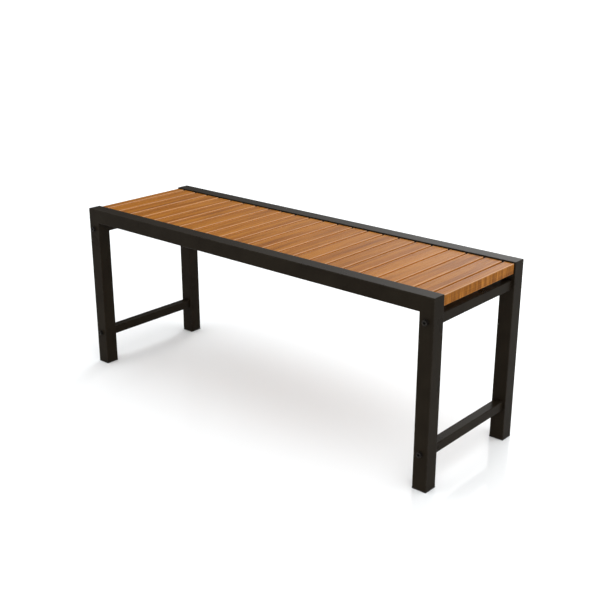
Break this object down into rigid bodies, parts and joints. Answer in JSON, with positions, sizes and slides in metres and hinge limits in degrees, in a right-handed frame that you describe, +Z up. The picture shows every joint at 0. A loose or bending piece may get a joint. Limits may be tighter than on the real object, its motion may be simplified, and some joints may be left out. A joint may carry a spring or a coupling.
{
  "type": "backless bench",
  "caption": "Backless outdoor bench: two square-tube metal frames bolted together by cross rails, with a seat of timber slats set between the long rails.",
  "frame": {"origin": "on the ground, under the middle of the bench", "axes": "+X along the bench to the right-hand end, +Y from the front frame to the rear frame, +Z up"},
  "size_m": [1.1664, 0.391, 0.465],
  "materials": {
    "frame_coat": "semi-gloss powder coat, near black",
    "timber": "oiled teak, grain along the slat",
    "foot_plastic": "moulded, fine matt",
    "black_steel": "black oxide, satin",
    "zinc_steel": "bright zinc plate"
  },
  "bodies": {
    "root": {"cross_rail_nut_plates": "zinc_steel", "front_frame_bolts": "black_steel", "front_left_foot_cap": "foot_plastic", "front_left_post": "frame_coat", "front_rail": "frame_coat", "front_right_foot_cap": "foot_plastic", "front_right_post": "frame_coat", "front_slat_ledger": "frame_coat", "front_slat_screws": "zinc_steel", "left_stretcher": "frame_coat", "left_upper_cross_rail": "frame_coat", "rear_frame_bolts": "black_steel", "rear_left_foot_cap": "foot_plastic", "rear_left_post": "frame_coat", "rear_rail": "frame_coat", "rear_right_foot_cap": "foot_plastic", "rear_right_post": "frame_coat", "rear_slat_ledger": "frame_coat", "rear_slat_screws": "zinc_steel", "right_stretcher": "frame_coat", "right_upper_cross_rail": "frame_coat", "slat_01": "timber", "slat_02": "timber", "slat_03": "timber", "slat_04": "timber", "slat_05": "timber", "slat_06": "timber", "slat_07": "timber", "slat_08": "timber", "slat_09": "timber", "slat_10": "timber", "slat_11": "timber", "slat_12": "timber", "slat_13": "timber", "slat_14": "timber", "slat_15": "timber", "slat_16": "timber", "slat_17": "timber", "slat_18": "timber", "slat_19": "timber", "slat_20": "timber", "slat_21": "timber", "slat_22": "timber", "slat_23": "timber", "slat_24": "timber"}
  },
  "joints": []
}
